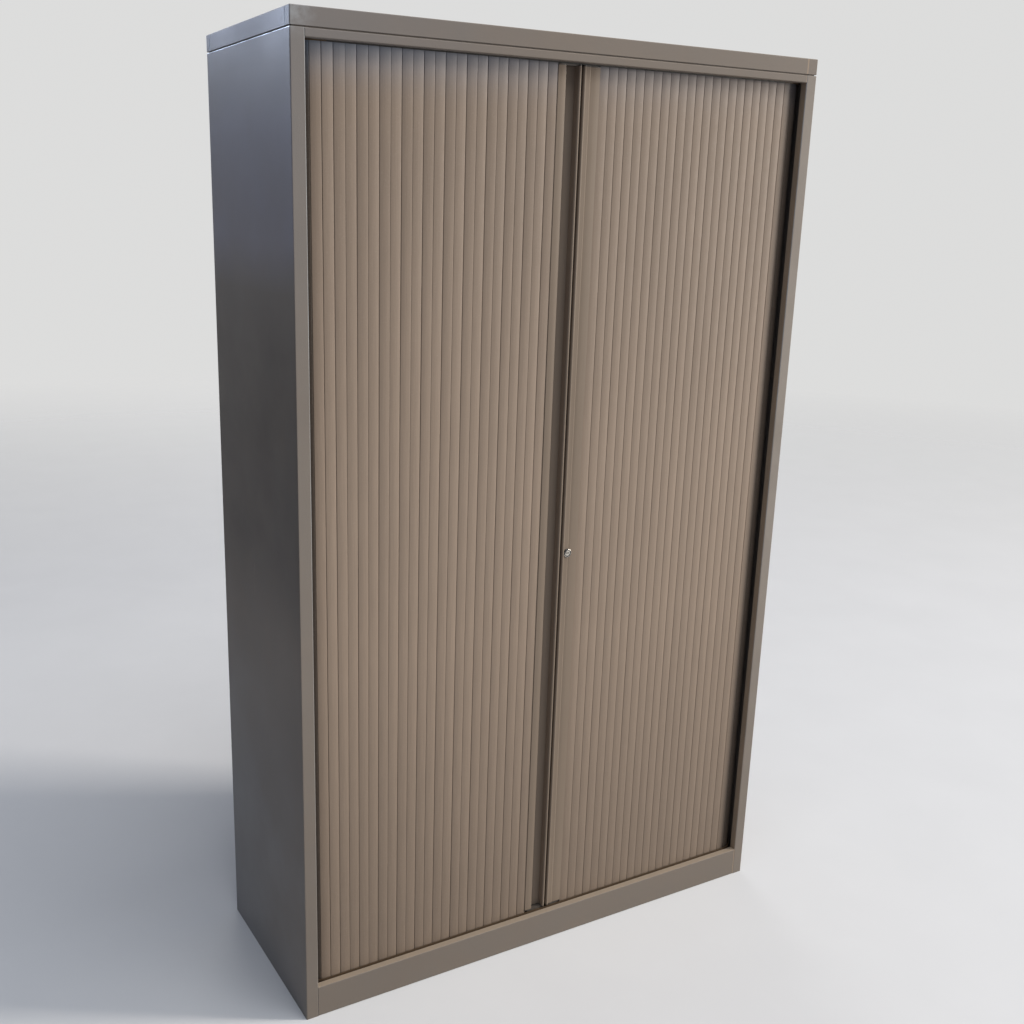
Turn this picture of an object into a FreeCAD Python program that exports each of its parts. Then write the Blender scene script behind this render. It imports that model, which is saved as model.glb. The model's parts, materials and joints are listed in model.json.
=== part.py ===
import FreeCAD, Part
import math
import os
from FreeCAD import Vector

# Storage cupboard with two side-opening tambour curtains, in millimetres.
# The origin is on the floor below the middle of the cabinet: +Z up, front towards -Y.

# Whole cabinet
width = 1200.0
depth = 440.0
height = 1955.0
sheet = 1.0

# Clearances
fit_gap = 0.3
slide_gap = 0.5
shaft_gap = 0.05
overrun = 5.0

# Folded sheet
fold_radius = 1.5
edge_fold = 15.0
edge_round = 0.6

# Cap and the shadow groove under it
cap_flange = 31.0
cap_round = 2.0
cap_wrap = 20.0
cap_slit = 1.4
groove_height = 2.5
groove_inset = 3.5

# Front frame: header, stiles, bottom rail
header_face = 15.0
stile_width = 27.0
rail_height = 69.0
ledge_depth = 16.0

# Back
rear_flange = 20.0
rivet_head_height = 1.2
rivet_head_radius = 3.2
rivet_shank_radius = 1.6
rivet_margin = 70.0
rivet_count = 14

# Base, false floor and the storage pocket
base_height = 48.0
plate_fold = 12.0
floor_rise = 17.0
floor_front = 34.0
liner_gap = 23.0
liner_front = 55.0
liner_rear = 29.0
liner_corner = 18.0
jamb_fold = 14.0

# Curtain: faces of the slats run along one path, recessed from the front
curtain_recess = 20.0
slat_pitch = 22.0
slat_joint = 0.5
slat_thickness = 6.0
slat_crown = 0.6
slat_round = 1.2
slat_top_gap = 1.0
bend_radius = 42.5
pocket_inset = 10.5
rear_inset = 13.0
tail_slats = 8
store_margin = 22.0

# Tracks
track_wall = 1.5
track_floor = 2.0
track_lip = 12.0
track_sill = 22.5
track_brow = 13.0
track_front_gap = 2.2
track_back_gap = 2.0
track_joint = 20.0

# Leading profiles
left_edge = 1.0
left_width = 51.0
right_edge = 4.0
right_width = 41.0
profile_front = 14.0
profile_back = 42.0
profile_wall = 2.0
profile_end_gap = 3.0
profile_foot_gap = 6.5
lip_width = 6.0
band_width = 17.5
band_set = 4.5
band_crown = 0.8
recess_depth = 15.5
recess_floor = 16.0
ridge_set = 3.0
ridge_width = 10.0
ridge_groove = 2.0
profile_chamfer = 6.0
end_cap = 2.0
end_plug = 10.0
buffer_front = 21.0
buffer_depth = 8.0
recess_sag_share_x = 0.3
recess_sag_share_y = 0.72

# Lock: a cam lock in the right profile, its keeper in the left one
lock_height = 930.0
lock_inset = 19.0
lock_flange_radius = 9.5
lock_flange = 2.5
lock_flange_round = 1.6
lock_mouth = 0.8
lock_barrel_radius = 8.0
lock_nut_radius = 11.5
lock_nut = 4.0
plug_radius = 6.5
plug_recess = 0.9
key_length = 8.0
key_width = 2.2
key_depth = 7.0
cam_thickness = 3.0
cam_play = 1.0
cam_reach = 32.0
cam_hook = 3.0
cam_hook_angle = 25.0
cam_arm = 6.4
cam_hub_radius = 8.0
cam_screw_radius = 4.0
cam_screw_head = 2.2
keeper_sheet = 1.5
keeper_margin = 8.0
keeper_gap = 0.6

# Shelves on clips in slotted uprights
shelf_count = 4
shelf_step_slots = 8
slot_pitch = 46.0
slot_width = 3.6
slot_height = 14.0
upright_sheet = 1.2
upright_width = 24.0
upright_depth = 8.0
upright_inset = 16.0
upright_rear_inset = 4.0
shelf_side_gap = 1.5
shelf_front = 62.0
shelf_rear = 44.0
shelf_drop = 25.0
shelf_lip = 10.0
clip_reach = 14.0
clip_sheet = 2.0
clip_width = 20.0
clip_drop = 20.0
lug_drop = 13.0
lug_height = 10.0
lug_hook = 3.0

# Levelling feet under the base
foot_inset_x = 60.0
foot_inset_y = 60.0
foot_clear = 1.0
foot_pad_radius = 18.0
foot_pad = 5.0
foot_neck_radius = 9.0
foot_neck = 4.0
foot_stem_radius = 5.0
foot_stem_top = 42.0
foot_slot_width = 1.6
foot_slot_depth = 3.0
bracket_sheet = 2.0
bracket_bottom = 20.0
bracket_half = 20.0
bracket_ear = 10.0
bracket_length = 50.0
insert_radius = 8.0
insert_flange_radius = 11.0
insert_flange = 3.0
insert_barrel = 6.0
access_radius = 9.0
hole_plug_radius = 12.0
hole_plug_head = 1.5
hole_plug_depth = 5.0

# Levels and faces that several pieces share
half_width = width / 2
half_depth = depth / 2
half_sheet = sheet / 2
front = -half_depth
side_top = height - cap_flange - groove_height
ceiling_top = side_top - sheet
ceiling = ceiling_top - sheet
header_bottom = side_top - header_face
base_under = base_height - sheet
floor_top = base_height + floor_rise
stile_inner = half_width - stile_width
back_face = half_depth - rivet_head_height - sheet
curtain_face = front + curtain_recess
bend_start = half_width - pocket_inset - bend_radius
front_arc_y = curtain_face + bend_radius
rear_face = half_depth - rear_inset
rear_arc_y = rear_face - bend_radius
channel_out = track_front_gap
channel_in = -slat_thickness - track_back_gap
track_out = channel_out + track_wall
track_in = channel_in - track_wall
stile_return_y = front + ledge_depth
deck_half = half_width - sheet - fit_gap
deck_start = stile_return_y + fit_gap
deck_end = back_face - sheet - fit_gap
slat_bottom = base_height + track_floor + fit_gap
slat_top = ceiling - track_floor - slat_top_gap
left_start = left_edge + left_width
right_start = right_edge + right_width
liner_face = half_width - liner_gap
liner_front_y = front + liner_front
liner_rear_y = half_depth - liner_rear
upright_face = liner_face - sheet - upright_depth
profile_front_y = front + profile_front
profile_back_y = front + profile_back
profile_bottom = rail_height + profile_foot_gap + end_cap
profile_top = header_bottom - profile_end_gap - end_cap
front_track_half = bend_start - track_joint


def at_height(z):
    return lambda a, b: Vector(a, b, z)


def at_x(x):
    return lambda a, b: Vector(x, a, b)


def at_y(y):
    return lambda a, b: Vector(a, y, b)


def box(x0, x1, y0, y1, z0, z1):
    return Part.makeBox(x1 - x0, y1 - y0, z1 - z0, Vector(x0, y0, z0))


def line(a, b):
    return Part.LineSegment(a, b).toShape()


def arc(a, middle, b):
    return Part.Arc(a, middle, b).toShape()


def solid_of(edges, run):
    """The solid that a closed outline sweeps along a straight run."""
    wire = Part.Wire(Part.__sortEdges__(edges))
    return Part.Face(wire).extrude(run)


def prism(points, at, run):
    """A straight-sided outline, extruded."""
    corners = [at(a, b) for a, b in points]
    edges = [line(p, q) for p, q in zip(corners, corners[1:] + corners[:1])]
    return solid_of(edges, run)


def cylinder(radius, start, run):
    """A round bar from a start point along a straight run."""
    return Part.makeCylinder(radius, run.Length, start, run)


def mirrored(shape):
    return shape.mirror(Vector(0, 0, 0), Vector(1, 0, 0))


def both_sides(shape):
    return [mirrored(shape), shape]


def fused(first, *others):
    return first.fuse(list(others)).removeSplitter()


def save(name, *solids):
    shape = solids[0] if len(solids) == 1 else Part.makeCompound(list(solids))
    volume = sum(s.Volume for s in shape.Solids)
    print(name, "solids", len(shape.Solids), "volume", round(volume), "valid", shape.isValid())
    shape.exportStep("parts/" + name + ".step")


def fold_side(points, side, thickness, bend, at):
    """One face of folded sheet: straight edges with an arc at each fold."""
    half = side * thickness / 2
    flat = [Vector(a, b, 0) for a, b in points]
    edges = []
    here = None
    for i, point in enumerate(flat):
        came = (point - flat[i - 1]) if i else (flat[1] - point)
        goes = (flat[i + 1] - point) if i < len(flat) - 1 else came
        came.normalize()
        goes = Vector(goes).normalize()
        normal_in = Vector(-came.y, came.x, 0)
        normal_out = Vector(-goes.y, goes.x, 0)
        turn = math.atan2(came.x * goes.y - came.y * goes.x, came.dot(goes))
        reach = bend * math.tan(abs(turn) / 2)
        start = point - came * reach + normal_in * half
        end = point + goes * reach + normal_out * half
        if here is not None:
            edges.append(line(at(here.x, here.y), at(start.x, start.y)))
        if reach > 0:
            sign = math.copysign(1, turn)
            centre = point - came * reach + normal_in * (bend * sign)
            middle = centre + (point - centre).normalize() * (bend - half * sign)
            edges.append(arc(at(start.x, start.y), at(middle.x, middle.y), at(end.x, end.y)))
        here = end
    return edges


def folded(points, at, run, thickness=sheet, bend=fold_radius):
    """Sheet folded along a midline, with round folds."""
    left = fold_side(points, 1, thickness, bend, at)
    right = fold_side(points, -1, thickness, bend, at)
    starts = line(left[0].Vertexes[0].Point, right[0].Vertexes[0].Point)
    ends = line(left[-1].Vertexes[-1].Point, right[-1].Vertexes[-1].Point)
    return solid_of(left + right + [starts, ends], run)


# Carcass
def tray(x, y, z0, z1, wall, rounding):
    """A pan turned upside down: a flat top with four flanges hanging from it."""
    outer = box(-x, x, -y, y, z0, z1)
    kept = [e for e in outer.Edges if e.BoundBox.ZMax > z0 + wall]
    outer = outer.makeFillet(rounding, kept)
    hollow = box(wall - x, x - wall, wall - y, y - wall, z0 - overrun, z1 - wall)
    return outer.cut(hollow)


def top_cap():
    """The pressed cap; its front and rear flanges wrap round onto the sides at an open slit."""
    bottom = height - cap_flange
    cap = tray(half_width, half_depth, bottom, height, sheet, cap_round)
    slits = []
    for y in (front + cap_wrap, -front - cap_wrap - cap_slit):
        slit = box(half_width - sheet - overrun, half_width + overrun, y, y + cap_slit,
                   bottom - overrun, height - cap_round)
        slits += both_sides(slit)
    return cap.cut(slits)


def top_frame():
    """The inner tray that carries the cap and backs the shadow groove."""
    x = half_width - groove_inset
    y = half_depth - groove_inset
    return tray(x, y, side_top, height - sheet - fit_gap, sheet, cap_round)


def rivet_places():
    step = (side_top - 2 * rivet_margin) / (rivet_count - 1)
    x = half_width - rear_flange / 2
    return [(s * x, rivet_margin + i * step) for s in (-1, 1) for i in range(rivet_count)]


def rivet(x, z):
    head = cylinder(rivet_head_radius, Vector(x, back_face + sheet, z), Vector(0, rivet_head_height, 0))
    rim = [e for e in head.Edges if e.BoundBox.YMin > back_face + sheet + edge_round]
    head = head.makeFillet(edge_round, rim)
    shank = cylinder(rivet_shank_radius, Vector(x, back_face - 2 * sheet, z), Vector(0, 3 * sheet, 0))
    return fused(head, shank)


def rivet_holes():
    radius = rivet_shank_radius + shaft_gap
    start = back_face - overrun
    return [cylinder(radius, Vector(x, start, z), Vector(0, 2 * overrun, 0)) for x, z in rivet_places()]


def side_panel():
    """Right side: skin, stile with its return flange, rear flange, folds at top and bottom."""
    x = half_width - half_sheet
    stile_x = stile_inner + half_sheet
    outline = [
        (stile_x, stile_return_y),
        (stile_x, front + half_sheet),
        (x, front + half_sheet),
        (x, back_face + half_sheet),
        (half_width - rear_flange, back_face + half_sheet),
    ]
    skin = folded(outline, at_height(0), Vector(0, 0, side_top))
    inner = half_width - half_sheet
    y0 = stile_return_y + fit_gap
    y1 = back_face - sheet - fit_gap
    top = box(half_width - edge_fold - sheet, inner, y0, y1, side_top - sheet, side_top)
    bottom = box(half_width - edge_fold - sheet, inner, y0, y1, 0, sheet)
    panel = fused(skin, top, bottom)
    outer = [e for e in panel.Edges
             if e.BoundBox.ZMin > side_top - edge_round
             and e.BoundBox.XMin > half_width - edge_round
             and e.BoundBox.YLength > depth / 2]
    return panel.makeFillet(edge_round, outer).cut(rivet_holes())


def header_rail():
    """The rail over the doorway, folded back above and below."""
    rear = front + ledge_depth - half_sheet
    outline = [
        (rear, ceiling - fit_gap),
        (rear, header_bottom + half_sheet),
        (front + half_sheet, header_bottom + half_sheet),
        (front + half_sheet, side_top - half_sheet),
        (front + ledge_depth, side_top - half_sheet),
    ]
    x = stile_inner - fit_gap
    return folded(outline, at_x(-x), Vector(2 * x, 0, 0))


def bottom_rail():
    """The rail under the doorway: ledge, face down to the floor, and a fold to stand on."""
    rear = front + ledge_depth - half_sheet
    outline = [
        (rear, base_height + fit_gap),
        (rear, rail_height - half_sheet),
        (front + half_sheet, rail_height - half_sheet),
        (front + half_sheet, half_sheet),
        (front + edge_fold, half_sheet),
    ]
    x = stile_inner - fit_gap
    return folded(outline, at_x(-x), Vector(2 * x, 0, 0))


def rear_plinth():
    """The strip below the back panel, folded forward at the floor and under the base."""
    y = back_face - half_sheet
    outline = [
        (y - edge_fold, base_under - half_sheet),
        (y, base_under - half_sheet),
        (y, half_sheet),
        (y - edge_fold, half_sheet),
    ]
    x = half_width - rear_flange - edge_fold
    return folded(outline, at_x(-x), Vector(2 * x, 0, 0))


def back_panel():
    x = half_width - half_sheet - fold_radius - fit_gap
    panel = box(-x, x, back_face - sheet, back_face, base_under + fit_gap, ceiling_top - fit_gap)
    return panel.cut(rivet_holes())


def deck_tongue(top):
    """The front of a level plate, which reaches between the stiles to the rail."""
    mouth = stile_inner - fit_gap
    tip = front + half_sheet + fold_radius + fit_gap
    return box(-mouth, mouth, tip, deck_start, top - sheet, top)


def foot_places():
    x = half_width - foot_inset_x
    y = half_depth - foot_inset_y
    return [("front_left", -x, -y), ("front_right", x, -y), ("rear_left", -x, y), ("rear_right", x, y)]


def access_holes(z):
    start = z - overrun
    return [cylinder(access_radius, Vector(x, y, start), Vector(0, 0, 2 * overrun))
            for _, x, y in foot_places()]


def base_panel():
    """The plate that the cabinet stands its tracks on, its side edges folded down."""
    x = deck_half - half_sheet
    z = base_height - half_sheet
    outline = [(-x, z - plate_fold), (-x, z), (x, z), (x, z - plate_fold)]
    deck = folded(outline, at_y(deck_start), Vector(0, deck_end - deck_start, 0))
    return fused(deck, deck_tongue(base_height)).cut(access_holes(base_height))


def ceiling_panel():
    """A flat plate, fixed up under the side panels' top folds."""
    deck = box(-deck_half, deck_half, deck_start, deck_end, ceiling, ceiling_top)
    return fused(deck, deck_tongue(ceiling_top))


def false_floor():
    """The raised floor between the liners, with a fold down to the base at front and rear."""
    side = liner_face - sheet - fit_gap
    mouth = liner_face - jamb_fold - fit_gap
    rear = inner_back_half()
    y0 = front + floor_front
    y1 = liner_front_y + sheet + fit_gap
    y2 = liner_rear_y - liner_corner - fold_radius
    y3 = liner_rear_y - 2 * sheet - fit_gap
    z = floor_top - sheet
    main = box(-side, side, y1, y2, z, floor_top)
    tongue = box(-mouth, mouth, y0, y1, z, floor_top)
    rear_tongue = box(-rear, rear, y2, y3, z, floor_top)
    front_leg = box(-mouth, mouth, y0, y0 + sheet, base_height + fit_gap, z)
    rear_leg = box(-rear, rear, y3 - sheet, y3, base_height + fit_gap, z)
    return fused(main, tongue, rear_tongue, front_leg, rear_leg).cut(access_holes(floor_top))


def liner():
    """Right inner wall of the doorway: it closes the pocket that takes the open curtain."""
    x = liner_face - half_sheet
    inner = liner_face - jamb_fold
    corner_x = x - liner_corner
    rear = liner_rear_y - half_sheet
    outline = [
        (inner, liner_front_y + half_sheet),
        (x, liner_front_y + half_sheet),
        (x, rear - liner_corner),
        (corner_x, rear),
        (corner_x - jamb_fold, rear),
    ]
    return folded(outline, at_height(base_height), Vector(0, 0, ceiling - base_height - fit_gap))


def inner_back_half():
    return liner_face - liner_corner - 2 * sheet - fold_radius


def inner_back():
    x = inner_back_half()
    y = liner_rear_y - sheet
    return box(-x, x, y - sheet, y, base_height + fit_gap, ceiling - fit_gap)


# Tracks
def path_edges(offset, start, end, z):
    """The curtain's path from the front, round the corner, down the side and behind the back."""
    r = bend_radius + offset
    diagonal = r * math.sqrt(0.5)
    at = at_height(z)
    a = at(start, curtain_face - offset)
    b = at(bend_start, curtain_face - offset)
    c = at(bend_start + r, front_arc_y)
    d = at(bend_start + r, rear_arc_y)
    e = at(bend_start, rear_face + offset)
    f = at(end, rear_face + offset)
    corner = at(bend_start + diagonal, front_arc_y - diagonal)
    rear_corner = at(bend_start + diagonal, rear_arc_y + diagonal)
    return [line(a, b), arc(b, corner, c), line(c, d), arc(d, rear_corner, e), line(e, f)]


def path_band(outer, inner, start, end, z0, z1):
    """A wall or floor that follows the curtain's path between two offsets from it."""
    out = path_edges(outer, start, end, z0)
    back = path_edges(inner, start, end, z0)
    at = at_height(z0)
    first = line(at(start, curtain_face - outer), at(start, curtain_face - inner))
    last = line(at(end, rear_face + outer), at(end, rear_face + inner))
    return solid_of(out + back + [first, last], Vector(0, 0, z1 - z0))


def store_end():
    """How far the rear run of track goes towards the middle to hold the whole open curtain."""
    front_run = front_slats(right_start) * slat_pitch
    curtain = front_run + tail_slats * slat_pitch
    bends = math.pi * bend_radius
    side_run = rear_arc_y - front_arc_y
    return bend_start - (curtain - bends - side_run) - store_margin


def storage_track(z_floor, z_open, z_edge):
    """Right corner, side and rear run of track, open towards z_open; its outer wall goes on to z_edge."""
    start = front_track_half + fit_gap
    end = store_end()
    up = math.copysign(1, z_open - z_floor)
    low, high = sorted((z_floor, z_open))
    body = path_band(track_out, track_in, start, end, low, high)
    low, high = sorted((z_floor + up * track_floor, z_open + up * overrun))
    channel = path_band(channel_out, channel_in, start - overrun, end - overrun, low, high)
    low, high = sorted((z_floor, z_edge))
    wall = path_band(track_out, channel_out, start, end, low, high)
    return fused(body.cut(channel), wall)


def front_track(z_floor, z_open, z_edge):
    """The straight channel across the doorway; its front wall shows as a dark line past the frame."""
    x = front_track_half
    up = math.copysign(1, z_open - z_floor)
    low, high = sorted((z_floor, z_open))
    body = box(-x, x, curtain_face - track_out, curtain_face - track_in, low, high)
    low, high = sorted((z_floor + up * track_floor, z_open + up * overrun))
    far = x + overrun
    channel = box(-far, far, curtain_face - channel_out, curtain_face - channel_in, low, high)
    low, high = sorted((z_floor, z_edge))
    wall = box(-x, x, curtain_face - track_out, curtain_face - channel_out, low, high)
    return fused(body.cut(channel), wall)


# Curtains
def path_point(s):
    """A point on the path of the slats' faces, s along it from the middle of the front."""
    quarter = bend_radius * math.pi / 2
    if s <= bend_start:
        return Vector(s, curtain_face, 0)
    if s <= bend_start + quarter:
        angle = (s - bend_start) / bend_radius
        return Vector(bend_start + bend_radius * math.sin(angle),
                      front_arc_y - bend_radius * math.cos(angle), 0)
    return Vector(bend_start + bend_radius, front_arc_y + s - bend_start - quarter, 0)


def front_slats(start):
    return int((bend_start - start) // slat_pitch)


def slat(s):
    """One slat: a crowned face with round edges, and sides that clear in a bend."""
    a = path_point(s)
    b = path_point(s + slat_pitch)
    middle = (a + b) * 0.5
    along = (b - a).normalize()
    out = Vector(along.y, -along.x, 0)
    half_pitch = (slat_pitch - slat_joint) / 2
    half_turn = slat_pitch / bend_radius / 2
    half = half_pitch - slat_round * math.tan(half_turn)
    back_half = half_pitch - slat_thickness * math.tan(half_turn) - slat_joint / 2

    def at(u, w):
        point = middle + along * u + out * w
        return Vector(point.x, point.y, slat_bottom)

    def round_edge(side):
        inner = half - slat_round
        sag = slat_round * math.sqrt(0.5)
        return arc(at(side * half, -slat_round), at(side * (inner + sag), sag - slat_round), at(side * inner, 0))

    crown = arc(at(slat_round - half, 0), at(0, slat_crown), at(half - slat_round, 0))
    back_right = at(back_half, -slat_thickness)
    back_left = at(-back_half, -slat_thickness)
    edges = [
        round_edge(-1),
        crown,
        round_edge(1),
        line(at(half, -slat_round), back_right),
        line(back_right, back_left),
        line(back_left, at(-half, -slat_round)),
    ]
    return solid_of(edges, Vector(0, 0, slat_top - slat_bottom))


def front_run(start):
    return [slat(start + i * slat_pitch) for i in range(front_slats(start))]


def tail(start):
    first = start + front_slats(start) * slat_pitch
    return [slat(first + i * slat_pitch) for i in range(tail_slats)]


# Leading profiles
def left_outline():
    """Left profile seen from above: crowned band, hollow finger recess, and a round-nosed lip."""
    x0 = -left_edge - left_width
    x1 = -left_edge
    flat_y = profile_front_y + band_set
    recess_y = profile_front_y + recess_depth
    lip_x = x1 - lip_width
    nose = lip_width / 2
    recess_x = lip_x - recess_floor
    flat_x = x0 + band_width
    sag_x = flat_x + (recess_x - flat_x) * recess_sag_share_x
    sag_y = flat_y + (recess_y - flat_y) * recess_sag_share_y
    return x0, x1, flat_x, flat_y, sag_x, sag_y, recess_x, recess_y, lip_x, nose


def left_section(z0, z1):
    x0, x1, flat_x, flat_y, sag_x, sag_y, recess_x, recess_y, lip_x, nose = left_outline()
    at = at_height(z0)
    nose_y = profile_front_y + nose
    back_x = x0 + profile_chamfer
    back_y = profile_back_y - profile_chamfer
    edges = [
        arc(at(x0, flat_y), at(x0 + band_width / 2, flat_y - band_crown), at(flat_x, flat_y)),
        arc(at(flat_x, flat_y), at(sag_x, sag_y), at(recess_x, recess_y)),
        line(at(recess_x, recess_y), at(lip_x, recess_y)),
        line(at(lip_x, recess_y), at(lip_x, nose_y)),
        arc(at(lip_x, nose_y), at(lip_x + nose, profile_front_y), at(x1, nose_y)),
        line(at(x1, nose_y), at(x1, profile_back_y)),
        line(at(x1, profile_back_y), at(back_x, profile_back_y)),
        line(at(back_x, profile_back_y), at(x0, back_y)),
        line(at(x0, back_y), at(x0, flat_y)),
    ]
    return solid_of(edges, Vector(0, 0, z1 - z0))


def left_cavities(z0, z1, inset):
    """The profile's two hollows, drawn in by an inset for what plugs into them."""
    x0, x1, flat_x, flat_y, sag_x, sag_y, recess_x, recess_y, lip_x, nose = left_outline()
    wall = profile_wall + inset
    rear = profile_back_y - wall
    run = Vector(0, 0, z1 - z0)
    web = lip_x - lip_width - profile_wall
    nose_hollow = box(web + wall, x1 - wall, recess_y + wall, rear, z0, z1)
    points = [
        (x0 + wall, flat_y + wall),
        (flat_x - wall, flat_y + wall),
        (sag_x - wall, sag_y + wall),
        (recess_x, recess_y + wall),
        (web - inset, recess_y + wall),
        (web - inset, rear),
        (x0 + profile_chamfer, rear),
        (x0 + wall, profile_back_y - profile_chamfer - inset),
    ]
    return [nose_hollow, prism(points, at_height(z0), run)]


def right_section(z0, z1):
    """Right profile seen from above: round-nosed lip, flat ridge, groove, and a crowned band."""
    x0 = right_edge
    x1 = right_edge + right_width
    nose = lip_width / 2
    nose_y = profile_front_y + nose
    ridge_y = profile_front_y + ridge_set
    ridge_x = x0 + lip_width + ridge_width
    band_x = ridge_x + ridge_groove
    band_y = profile_front_y + band_set
    at = at_height(z0)
    back_x = x1 - profile_chamfer
    back_y = profile_back_y - profile_chamfer
    edges = [
        arc(at(x0, nose_y), at(x0 + nose, profile_front_y), at(x0 + lip_width, nose_y)),
        line(at(x0 + lip_width, nose_y), at(ridge_x, ridge_y)),
        line(at(ridge_x, ridge_y), at(band_x, band_y)),
        arc(at(band_x, band_y), at((band_x + x1) / 2, band_y - band_crown), at(x1, band_y)),
        line(at(x1, band_y), at(x1, back_y)),
        line(at(x1, back_y), at(back_x, profile_back_y)),
        line(at(back_x, profile_back_y), at(x0, profile_back_y)),
        line(at(x0, profile_back_y), at(x0, nose_y)),
    ]
    return solid_of(edges, Vector(0, 0, z1 - z0))


def right_cavity(z0, z1, inset):
    x0 = right_edge
    x1 = right_edge + right_width
    wall = profile_wall + inset
    fore = profile_front_y + band_set + wall
    rear = profile_back_y - wall
    points = [
        (x0 + wall, fore),
        (x1 - wall, fore),
        (x1 - wall, profile_back_y - profile_chamfer - inset),
        (x1 - profile_chamfer - inset, rear),
        (x0 + wall, rear),
    ]
    return [prism(points, at_height(z0), Vector(0, 0, z1 - z0))]


def cam_front():
    return lock_back_y + cam_play


def left_profile():
    bar = left_section(profile_bottom, profile_top)
    hollow = left_cavities(profile_bottom - overrun, profile_top + overrun, 0)
    return bar.cut(hollow).cut(keeper_slot())


def right_profile():
    bar = right_section(profile_bottom, profile_top)
    hollow = right_cavity(profile_bottom - overrun, profile_top + overrun, 0)
    lock_hole = cylinder(lock_barrel_radius + shaft_gap, Vector(lock_inset, profile_front_y, lock_height),
                         Vector(0, profile_front, 0))
    seat = cylinder(lock_flange_radius + fit_gap, Vector(lock_inset, profile_front_y - overrun, lock_height),
                    Vector(0, ridge_set + overrun, 0))
    hook_top = cam_reach * math.sin(math.radians(cam_hook_angle))
    window = box(right_edge - overrun, right_edge + profile_wall + overrun,
                 cam_front() - keeper_gap, cam_front() + cam_thickness + keeper_gap,
                 lock_height - cam_reach - keeper_gap, lock_height + max(hook_top, cam_arm) + keeper_gap)
    return bar.cut(hollow + [lock_hole, seat, window])


def profile_cap(section, cavities, x0, x1, end, outward):
    """End cap of a profile: a plate over its end, plugs inside it and a tongue in the track."""
    low, high = sorted((end, end + outward * end_cap))
    plate = section(low, high)
    low, high = sorted((end, end - outward * end_plug))
    plugs = cavities(low, high, shaft_gap)
    tongue_end = slat_bottom if outward < 0 else slat_top
    low, high = sorted((end, tongue_end))
    tongue = box(x0, x1, curtain_face - channel_out + slide_gap, curtain_face - channel_in - slide_gap,
                 low, high)
    return fused(plate, tongue, *plugs)


def left_cap(end, outward):
    return profile_cap(left_section, left_cavities, -left_start + lip_width, -left_edge - lip_width,
                       end, outward)


def right_cap(end, outward):
    return profile_cap(right_section, right_cavity, right_edge + lip_width, right_start - lip_width,
                       end, outward)


def closing_buffer():
    """Rubber strip on the right profile that the left one closes against."""
    y = front + buffer_front
    return box(fit_gap - left_edge, right_edge, y, y + buffer_depth,
               profile_bottom + end_plug, profile_top - end_plug)


# Lock
lock_seat_y = profile_front_y + ridge_set
lock_front_y = lock_seat_y - lock_flange
lock_back_y = profile_back_y - profile_wall - 2 * cam_play - cam_thickness - cam_screw_head


def lock_barrel():
    """Fixed part of the lock: a domed flange on the profile's face and a barrel through it."""
    run = Vector(0, lock_flange, 0)
    flange = cylinder(lock_flange_radius, Vector(lock_inset, lock_front_y, lock_height), run)
    rim = [e for e in flange.Edges if e.BoundBox.YMax < lock_front_y + edge_round]
    flange = flange.makeFillet(lock_flange_round, rim)
    length = lock_back_y - lock_front_y - lock_flange
    barrel = cylinder(lock_barrel_radius, Vector(lock_inset, lock_seat_y, lock_height),
                      Vector(0, length, 0))
    bore = cylinder(plug_radius + shaft_gap, Vector(lock_inset, lock_front_y - overrun, lock_height),
                    Vector(0, length + lock_flange + 2 * overrun, 0))
    mouth = Part.makeCone(plug_radius + shaft_gap + 2 * lock_mouth, plug_radius + shaft_gap,
                          2 * lock_mouth, Vector(lock_inset, lock_front_y - lock_mouth, lock_height),
                          Vector(0, 1, 0))
    return fused(flange, barrel).cut([bore, mouth])


def lock_nut_ring():
    """The nut that clamps the barrel from inside the profile."""
    y = profile_front_y + band_set + profile_wall
    at = at_y(y)
    corners = [(lock_inset + lock_nut_radius * math.cos(math.radians(60 * i)),
                lock_height + lock_nut_radius * math.sin(math.radians(60 * i))) for i in range(6)]
    ring = prism(corners, at, Vector(0, lock_nut, 0))
    bore = cylinder(lock_barrel_radius + shaft_gap, Vector(lock_inset, y - overrun, lock_height),
                    Vector(0, lock_nut + 2 * overrun, 0))
    return ring.cut(bore)


def lock_plug():
    """The turning plug, with a level keyway in its face."""
    y = lock_front_y + plug_recess
    run = Vector(0, cam_front() - y, 0)
    plug = cylinder(plug_radius, Vector(lock_inset, y, lock_height), run)
    key = box(lock_inset - key_length / 2, lock_inset + key_length / 2, y - overrun, y + key_depth,
              lock_height - key_width / 2, lock_height + key_width / 2)
    return plug.cut(key)


def lock_cam():
    """The cam: a hub, an arm that hangs down when unlocked and a hook concentric with the plug."""
    y = cam_front()
    run = Vector(0, cam_thickness, 0)
    hub = cylinder(cam_hub_radius, Vector(lock_inset, y, lock_height), run)
    arm = box(lock_inset - cam_arm / 2, lock_inset + cam_arm / 2, y, y + cam_thickness,
              lock_height - cam_reach + cam_hook, lock_height)

    def at(radius, angle):
        turn = math.radians(angle)
        return Vector(lock_inset - radius * math.sin(turn), y, lock_height - radius * math.cos(turn))

    inner = cam_reach - cam_hook
    heel = -math.degrees(math.asin(cam_arm / 2 / cam_reach))
    tip = cam_hook_angle
    middle = (heel + tip) / 2
    hook = solid_of([
        arc(at(cam_reach, heel), at(cam_reach, middle), at(cam_reach, tip)),
        line(at(cam_reach, tip), at(inner, tip)),
        arc(at(inner, tip), at(inner, middle), at(inner, heel)),
        line(at(inner, heel), at(cam_reach, heel)),
    ], run)
    return fused(hub, arm, hook)


def cam_screw():
    start = Vector(lock_inset, cam_front() + cam_thickness, lock_height)
    return cylinder(cam_screw_radius, start, Vector(0, cam_screw_head, 0))


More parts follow.
